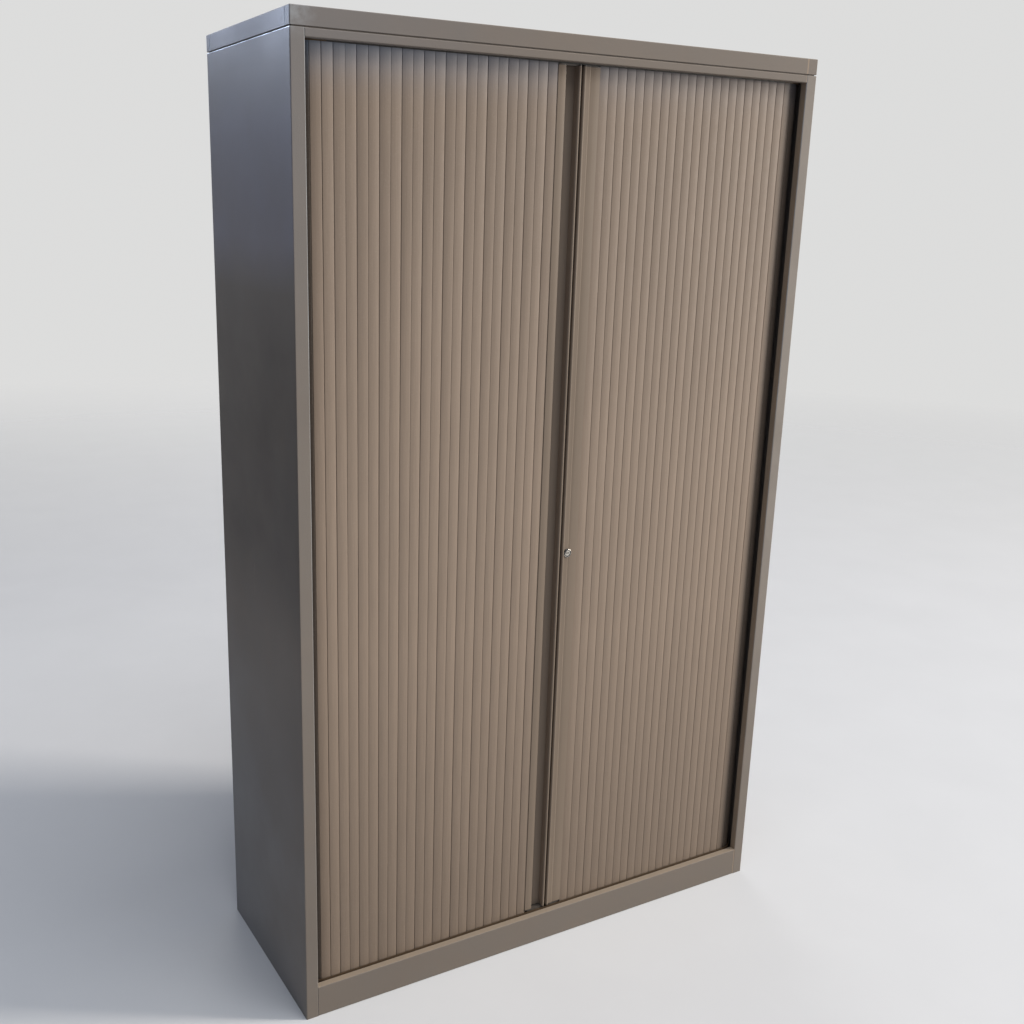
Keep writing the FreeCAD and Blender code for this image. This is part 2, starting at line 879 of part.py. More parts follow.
def keeper_slot():
    """The window in the left profile's wall and its keeper that the hook swings in through."""
    wall = profile_wall + keeper_sheet
    near = lock_inset + left_edge
    low = math.sqrt(cam_reach ** 2 - near ** 2)
    return box(-left_edge - wall - shaft_gap - overrun, -left_edge + overrun,
               cam_front() - keeper_gap, cam_front() + cam_thickness + keeper_gap,
               lock_height - low - keeper_gap, lock_height + cam_arm / 2 + keeper_gap)


def keeper_plate():
    """Steel keeper behind the left profile's wall; the hook swings up behind its upper edge."""
    x1 = -left_edge - profile_wall - shaft_gap
    x0 = x1 - keeper_sheet
    rear = profile_back_y - profile_wall - shaft_gap
    fore = profile_front_y + recess_depth + profile_wall + shaft_gap
    z0 = lock_height - cam_reach - keeper_margin
    z1 = lock_height + cam_reach
    return box(x0, x1, fore, rear, z0, z1).cut(keeper_slot())


# Shelves and their supports
upright_ys = (liner_front_y + upright_inset + upright_width / 2,
              liner_rear_y - liner_corner - upright_rear_inset - upright_width / 2)


def slot_heights():
    count = int((ceiling - floor_top - slot_height) // slot_pitch)
    return [floor_top + n * slot_pitch - lug_drop for n in range(1, count + 1)]


def upright(y):
    """Right-hand slotted upright on the liner, open towards it."""
    web = upright_face + upright_sheet / 2
    half = (upright_width - upright_sheet) / 2
    far = liner_face - sheet
    outline = [(far, y - half), (web, y - half), (web, y + half), (far, y + half)]
    bar = folded(outline, at_height(floor_top), Vector(0, 0, ceiling - floor_top - fit_gap), upright_sheet)
    slots = [box(upright_face - overrun, web + upright_sheet, y - slot_width / 2, y + slot_width / 2,
                 z - slot_height / 2, z + slot_height / 2) for z in slot_heights()]
    return bar.cut(slots)


def shelf_levels():
    return [floor_top + (i + 1) * shelf_step_slots * slot_pitch for i in range(shelf_count)]


def shelf(z):
    """Pressed shelf with its front and rear edges folded down and back under."""
    y0 = front + shelf_front
    y1 = half_depth - shelf_rear
    low = z - shelf_drop + half_sheet
    outline = [
        (y0 + shelf_lip, low),
        (y0 + half_sheet, low),
        (y0 + half_sheet, z - half_sheet),
        (y1 - half_sheet, z - half_sheet),
        (y1 - half_sheet, low),
        (y1 - shelf_lip, low),
    ]
    x = upright_face - shelf_side_gap
    return folded(outline, at_x(-x), Vector(2 * x, 0, 0))


def shelf_clip(y, z):
    """Right-hand clip: a tongue under the shelf, a back plate and a lug hooked into a slot."""
    top = z - sheet
    x = upright_face
    y0 = y - clip_width / 2
    y1 = y + clip_width / 2
    tongue = box(x - clip_reach, x, y0, y1, top - clip_sheet, top)
    plate = box(x - clip_sheet, x, y0, y1, top - clip_drop, top)
    half = slot_width / 2 - fit_gap
    lug_z = z - lug_drop
    far = x + upright_sheet + fit_gap + clip_sheet
    lug = box(x, far, y - half, y + half, lug_z - lug_height / 2, lug_z + lug_height / 2)
    hook = box(x + upright_sheet + fit_gap, far, y - half, y + half,
               lug_z - lug_height / 2 - lug_hook, lug_z)
    return fused(tongue, plate, lug, hook)


def shelf_clips():
    clips = []
    for z in shelf_levels():
        for y in upright_ys:
            clips += both_sides(shelf_clip(y, z))
    return clips


# Levelling feet
def foot_bracket(x, y):
    """Hat-shaped bracket under the base that carries a threaded insert."""
    half = bracket_sheet / 2
    top = base_under - half
    low = bracket_bottom + half
    outline = [
        (x - bracket_half - bracket_ear, top),
        (x - bracket_half, top),
        (x - bracket_half, low),
        (x + bracket_half, low),
        (x + bracket_half, top),
        (x + bracket_half + bracket_ear, top),
    ]
    hat = folded(outline, at_y(y - bracket_length / 2), Vector(0, bracket_length, 0),
                 bracket_sheet, 2 * half + fit_gap)
    hole = cylinder(insert_radius + shaft_gap, Vector(x, y, bracket_bottom - overrun),
                    Vector(0, 0, 2 * overrun))
    return hat.cut(hole)


def foot_insert(x, y):
    seat = bracket_bottom + bracket_sheet
    flange = cylinder(insert_flange_radius, Vector(x, y, seat), Vector(0, 0, insert_flange))
    barrel = cylinder(insert_radius, Vector(x, y, seat - insert_barrel), Vector(0, 0, insert_barrel))
    bore = cylinder(foot_stem_radius + shaft_gap, Vector(x, y, seat - insert_barrel - overrun),
                    Vector(0, 0, insert_barrel + insert_flange + 2 * overrun))
    return fused(flange, barrel).cut(bore)


def foot(x, y):
    """Screwed foot: round pad, neck and stem with a driver slot on top."""
    pad = cylinder(foot_pad_radius, Vector(x, y, foot_clear), Vector(0, 0, foot_pad))
    neck = cylinder(foot_neck_radius, Vector(x, y, foot_clear + foot_pad), Vector(0, 0, foot_neck))
    stem = cylinder(foot_stem_radius, Vector(x, y, foot_clear), Vector(0, 0, foot_stem_top - foot_clear))
    slot = box(x - foot_pad_radius, x + foot_pad_radius, y - foot_slot_width / 2, y + foot_slot_width / 2,
               foot_stem_top - foot_slot_depth, foot_stem_top + overrun)
    return fused(pad, neck, stem).cut(slot)


def hole_plug(x, y):
    """Plastic plug in the false floor over a foot."""
    head = cylinder(hole_plug_radius, Vector(x, y, floor_top), Vector(0, 0, hole_plug_head))
    barrel = cylinder(access_radius - fit_gap, Vector(x, y, floor_top - hole_plug_depth),
                      Vector(0, 0, hole_plug_depth))
    return fused(head, barrel)


def save_pair(name, shape):
    save("left_" + name, mirrored(shape))
    save("right_" + name, shape)


def save_carcass():
    save("top_cap", top_cap())
    save("top_frame", top_frame())
    save_pair("side_panel", side_panel())
    save("header_rail", header_rail())
    save("bottom_rail", bottom_rail())
    save("rear_plinth", rear_plinth())
    save("back_panel", back_panel())
    save("back_rivets", *[rivet(x, z) for x, z in rivet_places()])
    save("ceiling_panel", ceiling_panel())
    save("base_panel", base_panel())
    save("false_floor", false_floor())
    save_pair("liner", liner())
    save("inner_back", inner_back())


def save_tracks():
    bottom = base_height + track_floor
    top = ceiling - track_floor
    low = (base_height, bottom + track_lip, bottom + track_sill)
    high = (ceiling, top - track_lip, top - track_brow)
    save("front_track_bottom", front_track(*low))
    save("front_track_top", front_track(*high))
    save_pair("storage_track_bottom", storage_track(*low))
    save_pair("storage_track_top", storage_track(*high))


def save_doors():
    save("left_curtain_front", *[mirrored(s) for s in front_run(left_start)])
    save("left_curtain_tail", *[mirrored(s) for s in tail(left_start)])
    save("right_curtain_front", *front_run(right_start))
    save("right_curtain_tail", *tail(right_start))
    save("left_profile", left_profile())
    save("right_profile", right_profile())
    save("left_cap_bottom", left_cap(profile_bottom, -1))
    save("left_cap_top", left_cap(profile_top, 1))
    save("right_cap_bottom", right_cap(profile_bottom, -1))
    save("right_cap_top", right_cap(profile_top, 1))
    save("closing_buffer", closing_buffer())


def save_lock():
    save("lock_barrel", lock_barrel())
    save("lock_nut", lock_nut_ring())
    save("lock_plug", lock_plug())
    save("lock_cam", lock_cam())
    save("cam_screw", cam_screw())
    save("keeper_plate", keeper_plate())


def save_shelves():
    for i, z in enumerate(shelf_levels()):
        save("shelf_" + str(i + 1), shelf(z))
    for place, y in zip(("front", "rear"), upright_ys):
        save_pair("upright_" + place, upright(y))
    save("shelf_clips", *shelf_clips())


def save_feet():
    places = foot_places()
    save("foot_brackets", *[foot_bracket(x, y) for _, x, y in places])
    save("foot_inserts", *[foot_insert(x, y) for _, x, y in places])
    for place, x, y in places:
        save("foot_" + place, foot(x, y))
    save("hole_plugs", *[hole_plug(x, y) for _, x, y in places])


os.makedirs("parts", exist_ok=True)
save_carcass()
save_tracks()
save_doors()
save_lock()
save_shelves()
save_feet()
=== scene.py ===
import json
import math
import random

import bpy
from mathutils import Matrix, Vector


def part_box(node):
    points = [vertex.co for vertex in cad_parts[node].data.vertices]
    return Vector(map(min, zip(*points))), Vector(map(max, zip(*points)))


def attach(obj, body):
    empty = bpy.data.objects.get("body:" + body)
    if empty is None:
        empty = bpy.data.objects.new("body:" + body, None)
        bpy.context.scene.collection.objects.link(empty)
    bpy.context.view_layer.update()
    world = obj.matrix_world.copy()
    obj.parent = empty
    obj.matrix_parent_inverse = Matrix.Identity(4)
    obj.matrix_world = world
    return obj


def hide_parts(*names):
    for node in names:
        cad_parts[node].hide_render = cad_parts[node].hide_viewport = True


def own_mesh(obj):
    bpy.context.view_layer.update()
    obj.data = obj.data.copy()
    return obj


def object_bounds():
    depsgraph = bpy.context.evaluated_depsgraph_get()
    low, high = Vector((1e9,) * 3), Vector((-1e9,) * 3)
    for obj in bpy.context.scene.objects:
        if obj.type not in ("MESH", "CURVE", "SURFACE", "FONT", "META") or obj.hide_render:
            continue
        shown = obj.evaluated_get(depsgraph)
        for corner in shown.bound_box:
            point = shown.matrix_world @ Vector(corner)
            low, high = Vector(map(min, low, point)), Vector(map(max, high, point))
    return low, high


# Looks of a tall storage cupboard with two side-opening tambour curtains, in metres.
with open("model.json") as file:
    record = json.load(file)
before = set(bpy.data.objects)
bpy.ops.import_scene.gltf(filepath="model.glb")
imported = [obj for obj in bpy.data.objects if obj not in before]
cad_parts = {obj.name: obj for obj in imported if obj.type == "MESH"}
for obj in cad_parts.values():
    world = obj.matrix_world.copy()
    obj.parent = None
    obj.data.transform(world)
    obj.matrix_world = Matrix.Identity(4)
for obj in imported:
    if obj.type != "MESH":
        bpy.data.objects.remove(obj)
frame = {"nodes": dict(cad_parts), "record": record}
cad_low, cad_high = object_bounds()

MM = 0.001

# Slats, as the curtain's path is built: a straight front run, then round the corner
SLAT_PITCH = 22.0 * MM
SLAT_JOINT = 0.5 * MM
SLAT_THICKNESS = 6.0 * MM
SLAT_CROWN = 0.75 * MM
LINK_BOTTOM = 3.0 * MM
LINK_SLOPE = 0.9 * MM
LINK_GAP = 0.3 * MM
BEND_RADIUS = 42.5 * MM
BEND_START = 547.0 * MM
CURTAIN_FACE = -200.0 * MM
LEFT_START = 52.0 * MM
RIGHT_START = 45.0 * MM
FRONT_SLATS = 22
TAIL_SLATS = 8
RINGS = 36
ARC_STEPS = 4
CROWN_STEPS = 8

# Slats lie a little out of line: every second one leans the other way, more so towards the top.
# Leans are in degrees, for the foot and the head of a curtain
LEFT_LEAN = (1.0, 2.2)
RIGHT_LEAN = (0.15, 0.3)
LEAN_HEIGHT = (1.1, 1.7)
LEAN_SPREAD = 0.3
DRIFT = 0.12 * MM
DRIFT_LENGTH = (0.7, 1.6)
TONE_SPREAD = 1.0
LEFT_SEED = 11
RIGHT_SEED = 23

# Edges sharper than this are not shaded round, in degrees
SLAT_SHARP = 40.0
CAD_SHARP = 28.0

# Depth of the joints: where two slats lean together they part less than where they lean away
LEFT_JOINTS = (0.35 * MM, 0.8 * MM)
RIGHT_JOINTS = (0.35 * MM, 0.5 * MM)
CORNER_JOINTS = (1.0 * MM, 1.0 * MM)

# Painted shade in the corners: how dark it grows towards the far edge of the first slat there; the slats
# behind it are fully darkened
LEFT_CORNER_SHADE = 0.1
RIGHT_CORNER_SHADE = 0.75

# Camera, fitted to the photograph: angles in radians, the lens in pixels, its sensor in millimetres
CAMERA_PLACE = (-1.34863, -2.10562, 1.63783)
CAMERA_YAW = 0.50997
CAMERA_PITCH = -0.26562
CAMERA_ROLL = 0.01733
FOCAL_PIXELS = 1138.23
PRINCIPAL_POINT = (443.81, 517.08)
IMAGE_SIZE = 1024
SENSOR = 36.0

# Light; the key lamp's azimuth is in degrees
KEY_AZIMUTH = 60.5
KEY_DISTANCE = 12.0
KEY_WIDTH = 2.1
KEY_HEIGHT = 15.0
KEY_CENTRE = 7.4
KEY_RADIANCE = 24.5
KEY_COLOUR = (1.0, 0.95, 0.89)
TOP_PLACE = (0.8, -3.5, 9.0)
TOP_SIZE = (6.0, 6.0)
TOP_RADIANCE = 4.4
TOP_COLOUR = (0.93, 0.96, 1.0)
SHEEN_PLACE = (-2.85, 4.6, 3.45)
SHEEN_AIM = (-0.6, 0.0, 1.9)
SHEEN_SIZE = (1.5, 1.7)
SHEEN_RADIANCE = 36.0
SHEEN_COLOUR = (0.65, 0.75, 0.98)
REAR_PLACE = (4.0, 11.0, 4.0)
REAR_AIM = (0.0, 0.2, 1.0)
REAR_SIZE = (5.0, 4.0)
REAR_RADIANCE = 5.0
REAR_COLOUR = (1.0, 0.98, 0.95)
AMBIENT = (0.145, 0.172, 0.235)
BACKGROUND = (0.72, 0.72, 0.715)
FLOOR_PALE = (0.66, 0.655, 0.645)
FLOOR_BOUNCE = (0.46, 0.44, 0.42)
FLOOR_HALF = 40.0
FLOOR_FADE = (3.0, 9.0)

# Paint: its colours, shine and texture
PAINT = (0.205, 0.172, 0.142)
INNER_PAINT = (0.215, 0.184, 0.155)
PAINT_SHINE = 0.04
COOL_PATCH = (0.93, 1.0, 1.06)
SCUFF_PALER = 1.7
PEEL_DEPTH = 0.00018
WAVE_DEPTH = 0.0025

# Dust, and painted light from above, on faces that look up
DUST_AND_TOP_LIGHT = (0.34, 0.26, 0.18)
DUST_AND_TOP_LIGHT_COVER = 0.62
LOOKS_UP = (0.7, 0.95)

# Painted highlight on the stiles' folds and at the cap's scuffed corner, and painted cool light: their
# colours, and where along an axis they start and end
PALE_WEAR_AND_HIGHLIGHT = (0.34, 0.35, 0.35)
LEFT_TO_RIGHT = (-0.1, 0.1)
FOLD_HIGHLIGHT_HEIGHT = (0.3, 1.5)
FOLD_INSET = 1.1 * MM
CORNER_PATCH_REACH = (12.0 * MM, 55.0 * MM)
# Painted cool light towards the upper left, away from the key light
PAINT_COOL_LIGHT = (0.17, 0.19, 0.22)
PAINT_COOL_LIGHT_COVER = 0.28
PAINT_COOL_LIGHT_HEIGHT = (1.3, 1.9)
PAINT_COOL_LIGHT_SIDE = (-0.6, -0.1)

# Left side panel, painted light: where its low painted bounce light ends, and its two upper bands, a
# painted shade and a painted cool sheen, by middle and half height
SIDE_LOW = (0.3, 0.8)
SIDE_MIDDLE = (1.18, 0.38)
SIDE_HIGH = (1.68, 0.2)
SIDE_BOUNCE_LIGHT = (0.45, 0.47, 0.48)
SIDE_SHADE = (0.03, 0.027, 0.028)
SIDE_COOL_SHEEN = (0.40, 0.43, 0.62)
SIDE_COVERS = (0.34, 0.4, 0.2)
SIDE_FRONT_TO_REAR = (-0.2, 0.2)

# Widths of the bands at edges; a painted highlight along the side panels' top edges, partly metallic;
# pale paint beside the cap's slits; a painted sheen on the stiles and the heights where it rises and
# falls; painted bounce light on the right return flange
EDGE_BAND = 1.2 * MM
TOP_EDGE = 1.5 * EDGE_BAND
SLIT_EDGE_PALE = (0.55, 0.60, 0.66)
TOP_EDGE_HIGHLIGHT = (0.88, 0.93, 1.0)
TOP_EDGE_METALLIC = 0.16
STILE_SHEEN = (0.36, 0.325, 0.285)
STILE_SHEEN_RISE = (0.2, 0.9)
STILE_SHEEN_FALL = (1.3, 1.8)
RETURN_BOUNCE_LIGHT = (0.42, 0.31, 0.21)

# Slits where the cap's front flange wraps round its corners, with painted shade in them and pale paint
# beside them
CAP_SLIT = 199.3 * MM
SLIT_HALF = 0.7 * MM
SLIT_PALE = 5.0 * SLIT_HALF
SLIT_DARK = 1.6 * SLIT_HALF
# Dark colour of painted shade: in the cap's slits, on the lock, and under the header on the slats
PAINTED_SHADE_DARK = (0.03, 0.032, 0.036)

# Painted shade on the lock: how far off its middle, towards which side, and round the plug
LOCK_SHADE_REACH = (3.5 * MM, 5.5 * MM)
LOCK_SHADE_COVER = 0.95
SHADE_LEFT = 0.8
SHADE_UP = 0.6
PLUG_RING = (7.0 * MM, 1.3 * MM)

# Slats: grain, painted shade in the corners and towards the foot and the head, and a painted cool shade
# and a painted shadow under the header
SPECK = (0.36, 0.31, 0.26)
GRAIN_DEPTH = 0.00006
MOULD_DEPTH = 0.00004
CORNER_SHADE_DARKEST = 0.32
# Painted shade over the slats' height: how dark at the foot and the head, and where it fades out
FOOT_SHADE = 0.77
HEAD_SHADE = 0.83
FOOT_SHADE_SPAN = (0.15, 0.75)
HEAD_SHADE_SPAN = (1.1, 1.75)
# Painted cool shade under the header: its colour, span, cover and side
HEAD_COOL_SHADE = (0.20, 0.26, 0.34)
HEAD_COOL_SHADE_SPAN = (1.78, 1.905)
HEAD_COOL_SHADE_COVER = 0.87
HEAD_COOL_SHADE_SIDE = (-0.5, 0.45)
# Painted shadow just under the header: its span and side
HEAD_SHADOW_SPAN = (1.899, 1.907)
HEAD_SHADOW_SIDE = (-0.3, 0.1)

# Texture of the other materials, as depths of their bumps
DIE_LINE_DEPTH = 0.00004
ERODED_DEPTH = 0.00007
SCRATCH_DEPTH = 0.00003

# Paint bead in the seams of the bottom rail
SEAM = 0.3 * MM
BEAD_LAP = 0.1 * MM
BEAD_SINK = 0.15 * MM
BEAD_EDGE = 0.4 * BEAD_SINK
BEAD_MIDDLE = 0.6 * BEAD_SINK
BEAD_DEPTH = 2 * BEAD_SINK


def add(tree, kind, settings=(), **sockets):
    """A shader node with its settings, and each named socket set or linked."""
    node = tree.nodes.new(kind)
    for name, value in dict(settings).items():
        setattr(node, name, value)
    for name, value in sockets.items():
        socket = node.inputs[int(name[1:]) if name[1:].isdigit() else name.replace("_", " ")]
        if isinstance(value, bpy.types.NodeSocket):
            tree.links.new(value, socket)
        else:
            socket.default_value = value
    return node


def place(tree, stretch=(1.0, 1.0, 1.0)):
    """Coordinates in metres on the piece, stretched for grain that runs one way."""
    coords = add(tree, "ShaderNodeTexCoord").outputs["Object"]
    return add(tree, "ShaderNodeMapping", Vector=coords, Scale=stretch).outputs["Vector"]


def noise(tree, vector, scale, detail=3.0, roughness=0.55):
    node = add(tree, "ShaderNodeTexNoise", Vector=vector, Scale=scale,
               Detail=detail, Roughness=roughness)
    return node.outputs["Fac"]


def remap(tree, value, low, high, start=0.3, end=0.7):
    """A value from start to end, taken to low to high and held there beyond it."""
    node = add(tree, "ShaderNodeMapRange", Value=value,
               From_Min=start, From_Max=end, To_Min=low, To_Max=high)
    return node.outputs["Result"]


def calc(tree, operation, *values):
    sockets = {"_%d" % i: value for i, value in enumerate(values)}
    return add(tree, "ShaderNodeMath", [("operation", operation)], **sockets).outputs[0]


def multiply(tree, a, b):
    return calc(tree, "MULTIPLY", a, b)


def axes(tree, vector):
    return add(tree, "ShaderNodeSeparateXYZ", Vector=vector).outputs


def tint(tree, colour, factor):
    """A colour scaled by a factor that varies over the surface."""
    node = add(tree, "ShaderNodeVectorMath", [("operation", "SCALE")], Scale=factor)
    node.inputs[0].default_value = colour
    return node.outputs["Vector"]


def opaque(colour):
    return tuple(colour) + (1.0,)


def blend_colour(tree, factor, first, second):
    """The first colour at a factor of 0, the second at 1; each is a link or three numbers."""
    node = add(tree, "ShaderNodeMix", [("data_type", "RGBA")], _0=factor)
    for socket, value in ((node.inputs[6], first), (node.inputs[7], second)):
        if isinstance(value, bpy.types.NodeSocket):
            tree.links.new(value, socket)
        else:
            socket.default_value = opaque(value)
    return node.outputs[2]


def bump(tree, height, distance, strength=1.0, under=None):
    sockets = {"Height": height, "Distance": distance, "Strength": strength}
    if under is not None:
        sockets["Normal"] = under
    return add(tree, "ShaderNodeBump", **sockets).outputs["Normal"]


def material(name, **constants):
    """A material whose shader has these constant sockets; the rest is linked afterwards."""
    made = bpy.data.materials.new(name)
    made.use_nodes = True
    tree = made.node_tree
    shader = tree.nodes["Principled BSDF"]
    for socket, value in constants.items():
        shader.inputs[socket.replace("_", " ")].default_value = value
    return made, tree, shader


def finish_shader(tree, shader, colour, roughness, normal):
    tree.links.new(colour, shader.inputs["Base Color"])
    tree.links.new(roughness, shader.inputs["Roughness"])
    tree.links.new(normal, shader.inputs["Normal"])


def dust_and_top_light(tree, here, base):
    """Pale dust on faces that look up, which also paints the light from above."""
    normal = add(tree, "ShaderNodeNewGeometry").outputs["Normal"]
    up = remap(tree, axes(tree, normal)[2], 0.0, DUST_AND_TOP_LIGHT_COVER, *LOOKS_UP)
    cover = multiply(tree, up, remap(tree, noise(tree, here, 30.0, 4.0), 0.8, 1.0))
    return blend_colour(tree, cover, base, DUST_AND_TOP_LIGHT)


def band(tree, value, middle, half):
    """1 where a value is within a narrow band, fading at its edges."""
    off = calc(tree, "ABSOLUTE", calc(tree, "SUBTRACT", value, middle))
    return remap(tree, off, 1.0, 0.0, 0.5 * half, half)


def painted_fold_highlight(tree, here, base):
    """Painted highlight along the stiles' inner folds, paler towards the top."""
    x, y, z = axes(tree, here)
    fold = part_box("header_rail")[1].x + FOLD_INSET
    near = multiply(tree, band(tree, calc(tree, "ABSOLUTE", x), fold, FOLD_INSET),
                    band(tree, y, cad_low.y, 2 * FOLD_INSET))
    below_cap = calc(tree, "LESS_THAN", z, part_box("header_rail")[1].z)
    overlay = multiply(tree, remap(tree, noise(tree, here, 12.0, 3.0), 0.5, 1.0),
                    remap(tree, z, 0.35, 1.0, *FOLD_HIGHLIGHT_HEIGHT))
    overlay = multiply(tree, multiply(tree, near, below_cap), overlay)
    return blend_colour(tree, overlay, base, PALE_WEAR_AND_HIGHLIGHT)


def top_edge_highlight(tree, here):
    """How strong the painted highlight is along the side panels' top edges, just under the shadow
    groove.
    """
    x, _, z = axes(tree, here)
    near = multiply(tree, band(tree, z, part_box("header_rail")[1].z, TOP_EDGE),
                    band(tree, calc(tree, "ABSOLUTE", x), cad_high.x, EDGE_BAND))
    overlay = multiply(tree, remap(tree, noise(tree, here, 25.0, 3.0), 0.3, 1.0, 0.35, 0.6),
                    remap(tree, x, 1.0, 0.5, *LEFT_TO_RIGHT))
    return multiply(tree, near, overlay)


# Paints the highlight along the side panels' top edges.
def painted_top_edge_highlight(tree, here, base):
    return blend_colour(tree, top_edge_highlight(tree, here), base, TOP_EDGE_HIGHLIGHT)


def metallic_top_edge_highlight(made):
    """Makes the painted highlight along the side panels' top edges partly metallic, so that it also
    reflects.
    """
    tree = made.node_tree
    metal_share = multiply(tree, top_edge_highlight(tree, place(tree)), TOP_EDGE_METALLIC)
    tree.links.new(metal_share, tree.nodes["Principled BSDF"].inputs["Metallic"])
    return made


def painted_sheen_on_stiles(tree, here, base):
    """The stiles' faces with a painted sheen, the right one most, fading towards foot and head."""
    x, y, z = axes(tree, here)
    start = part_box("header_rail")[1].x + 2 * FOLD_INSET
    face = multiply(tree, calc(tree, "GREATER_THAN", calc(tree, "ABSOLUTE", x), start),
                    band(tree, y, cad_low.y, 2 * FOLD_INSET))
    face = multiply(tree, face, remap(tree, x, 0.35, 1.0, *LEFT_TO_RIGHT))
    face = multiply(tree, face, calc(tree, "LESS_THAN", z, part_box("header_rail")[1].z))
    reach = multiply(tree, remap(tree, z, 0.2, 1.0, *STILE_SHEEN_RISE), remap(tree, z, 1.0, 0.75, *STILE_SHEEN_FALL))
    overlay = multiply(tree, reach, remap(tree, noise(tree, here, 9.0, 4.0), 0.3, 0.5))
    return blend_colour(tree, multiply(tree, face, overlay), base, STILE_SHEEN)


def painted_bounce_on_return(tree, here, base):
    """The right stile's return flange, paler with painted bounce light from the slats beside it.

    The band is one of x alone, so a line of it also crosses the cap and the bottom rail.
    """
    x = axes(tree, here)[0]
    flange = band(tree, x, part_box("header_rail")[1].x, 2 * FOLD_INSET)
    overlay = remap(tree, noise(tree, here, 9.0, 4.0), 0.45, 0.65)
    return blend_colour(tree, multiply(tree, flange, overlay), base, RETURN_BOUNCE_LIGHT)


def slit_shade_and_pale_edges(tree, here, base):
    """Painted shade in the slits of the cap, and pale paint beside them."""
    x, y, z = axes(tree, here)
    side = multiply(tree, band(tree, calc(tree, "ABSOLUTE", x), cad_high.x, EDGE_BAND),
                    calc(tree, "GREATER_THAN", z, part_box("header_rail")[1].z + EDGE_BAND))
    across = calc(tree, "ABSOLUTE", y)
    pale = multiply(tree, side, band(tree, across, CAP_SLIT, SLIT_PALE))
    dark = multiply(tree, side, band(tree, across, CAP_SLIT, SLIT_DARK))
    pale = multiply(tree, pale, remap(tree, noise(tree, here, 120.0, 3.0), 0.3, 0.9))
    base = blend_colour(tree, pale, base, SLIT_EDGE_PALE)
    return blend_colour(tree, dark, base, PAINTED_SHADE_DARK)


def painted_cool_light(tree, here, base):
    """Painted cool light towards the upper left, away from the key light."""
    x, _, z = axes(tree, here)
    cover = multiply(tree, remap(tree, z, 0.0, PAINT_COOL_LIGHT_COVER, *PAINT_COOL_LIGHT_HEIGHT),
                     remap(tree, x, 1.0, 0.0, *PAINT_COOL_LIGHT_SIDE))
    return blend_colour(tree, cover, base, PAINT_COOL_LIGHT)


def painted_light_on_left_side(tree, here, base):
    """Left side panel, painted light: a pale painted bounce low down, a painted shade at the middle, a
    painted cool sheen above.
    """
    x, y, z = axes(tree, here)
    side = band(tree, x, cad_low.x, EDGE_BAND)
    cloud = remap(tree, noise(tree, here, 7.0, 4.0), 0.8, 1.2)
    side = multiply(tree, side, cloud)
    low_cover, middle_cover, high_cover = SIDE_COVERS
    low = multiply(tree, remap(tree, z, low_cover, 0.0, *SIDE_LOW),
                   remap(tree, y, 0.45, 1.0, *SIDE_FRONT_TO_REAR))
    middle = multiply(tree, band(tree, z, *SIDE_MIDDLE), middle_cover)
    high = multiply(tree, band(tree, z, *SIDE_HIGH), high_cover)
    base = blend_colour(tree, multiply(tree, side, low), base, SIDE_BOUNCE_LIGHT)
    base = blend_colour(tree, multiply(tree, side, middle), base, SIDE_SHADE)
    return blend_colour(tree, multiply(tree, side, high), base, SIDE_COOL_SHEEN)


def corner_scuff_and_highlight(tree, here, base):
    """The cap's left front corner, paler: a scuff that also paints a highlight."""
    corner = (cad_low.x, cad_low.y + CORNER_PATCH_REACH[0] / 2, cad_high.z)
    reach = add(tree, "ShaderNodeVectorMath", [("operation", "DISTANCE")],
                _0=here, _1=corner).outputs["Value"]
    overlay = multiply(tree, remap(tree, reach, 1.0, 0.0, *CORNER_PATCH_REACH),
                    remap(tree, noise(tree, here, 90.0, 4.0), 0.1, 0.8))
    return blend_colour(tree, overlay, base, PALE_WEAR_AND_HIGHLIGHT)


def baked_paint(name, colour, roughness, scuffs, overlay=()):
    """Stoved paint on sheet steel: fine orange peel, soft blotches, faint rubbed marks."""
    made, tree, shader = material(name, IOR=1.45, Specular_IOR_Level=PAINT_SHINE)
    here = place(tree)
    blotch = remap(tree, noise(tree, here, 1.7, 4.0), 0.95, 1.05)
    speck = remap(tree, noise(tree, here, 900.0, 1.0), 0.965, 1.035)
    base = tint(tree, colour, multiply(tree, blotch, speck))
    cool = tuple(a * b for a, b in zip(colour, COOL_PATCH))
    patch = remap(tree, noise(tree, here, 16.0, 3.0), 0.1, 0.55, 0.3, 0.8)
    base = blend_colour(tree, patch, base, cool)
    streaks = noise(tree, place(tree, (3.0, 3.0, 0.35)), 9.0, 5.0, 0.65)
    marks = multiply(tree, remap(tree, streaks, 0.0, scuffs, 0.62, 0.75),
                     remap(tree, noise(tree, here, 46.0, 4.0), 0.0, 1.0, 0.5, 0.7))
    pale = tuple(c * SCUFF_PALER for c in colour)
    # Dust on faces that look up, which also paints the light from above
    base = dust_and_top_light(tree, here, blend_colour(tree, marks, base, pale))
    # Overlays that paint light and shade onto the paint, and a scuff
    for paint_over in overlay:
        base = paint_over(tree, here, base)
    rough = remap(tree, noise(tree, here, 5.0, 5.0), roughness - 0.05, roughness + 0.05)
    peel = bump(tree, noise(tree, here, 520.0, 2.0), PEEL_DEPTH)
    wave = bump(tree, noise(tree, here, 7.0, 1.0), WAVE_DEPTH, 0.25, peel)
    finish_shader(tree, shader, base, rough, wave)
    return made


def spread(tree, name):
    """A value that the slats' mesh carries at its points."""
    return add(tree, "ShaderNodeAttribute", [("attribute_name", name)]).outputs["Fac"]


